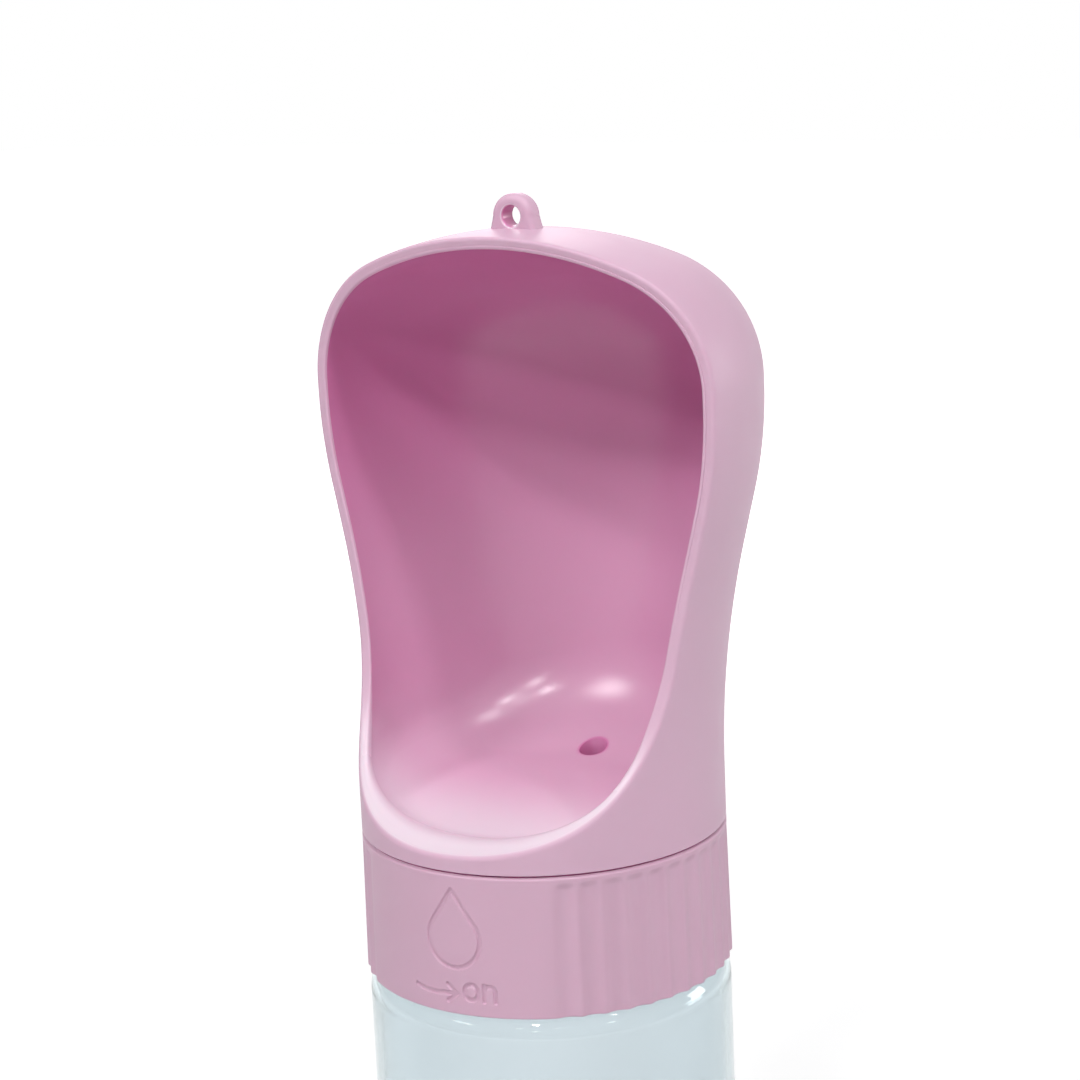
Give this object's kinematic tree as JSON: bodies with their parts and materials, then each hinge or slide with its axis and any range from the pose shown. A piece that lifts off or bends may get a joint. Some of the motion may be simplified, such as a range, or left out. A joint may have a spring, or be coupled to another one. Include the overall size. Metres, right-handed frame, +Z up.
{
  "type": "pet travel water bottle",
  "caption": "Clear screw-neck bottle with a fluted twist collar and a tall bulb-shaped drinking scoop that turns to open a rotary face valve.",
  "frame": {"origin": "centre of the bottle's flat base, on the bottle's axis", "axes": "+Z up along the bottle's axis, the scoop opens towards -Y, +X to the right as seen from the open side"},
  "size_m": [0.0864, 0.0776, 0.2603],
  "materials": {
    "clear_plastic": "clear, polished, faint cool tint",
    "white_silicone": "matt translucent white silicone",
    "collar_plastic": "satin moulded pink",
    "cap_plastic": "satin moulded pink",
    "white_acetal": "smooth natural white",
    "scoop_plastic": "soft gloss moulded pink",
    "base_plastic": "satin moulded pink"
  },
  "bodies": {
    "bottle": {"bottle": "clear_plastic"},
    "neck_gasket": {"neck_gasket": "white_silicone"},
    "retaining_ring": {"retaining_ring": "white_acetal"},
    "collar": {"grip_sleeve": "collar_plastic", "threaded_cap": "cap_plastic"},
    "head": {"scoop": "scoop_plastic", "scoop_hood": "scoop_plastic", "scoop_base": "base_plastic", "spigot_seal": "white_silicone", "tube_seal": "white_silicone", "port_seal": "white_silicone"}
  },
  "joints": [
    {"name": "lift_off", "type": "slide", "parent": "bottle", "child": "neck_gasket", "axis": [0, 0, 1], "range_m": [0, 0.04]},
    {"name": "screw_rise", "type": "slide", "parent": "neck_gasket", "child": "retaining_ring", "axis": [0, 0, 1], "range_m": [0, 0.00605]},
    {"name": "screw_turn", "type": "hinge", "parent": "retaining_ring", "child": "collar", "pos_m": [0, 0, 0.13], "axis": [0, 0, 1], "range_deg": [0, 540]},
    {"name": "valve_twist", "type": "hinge", "parent": "collar", "child": "head", "pos_m": [0, 0, 0.1443], "axis": [0, 0, -1], "range_deg": [0, 60]}
  ],
  "couplings": [
    {"joint": "screw_rise", "follows": "screw_turn", "m_per_rad": 0.00063662}
  ]
}
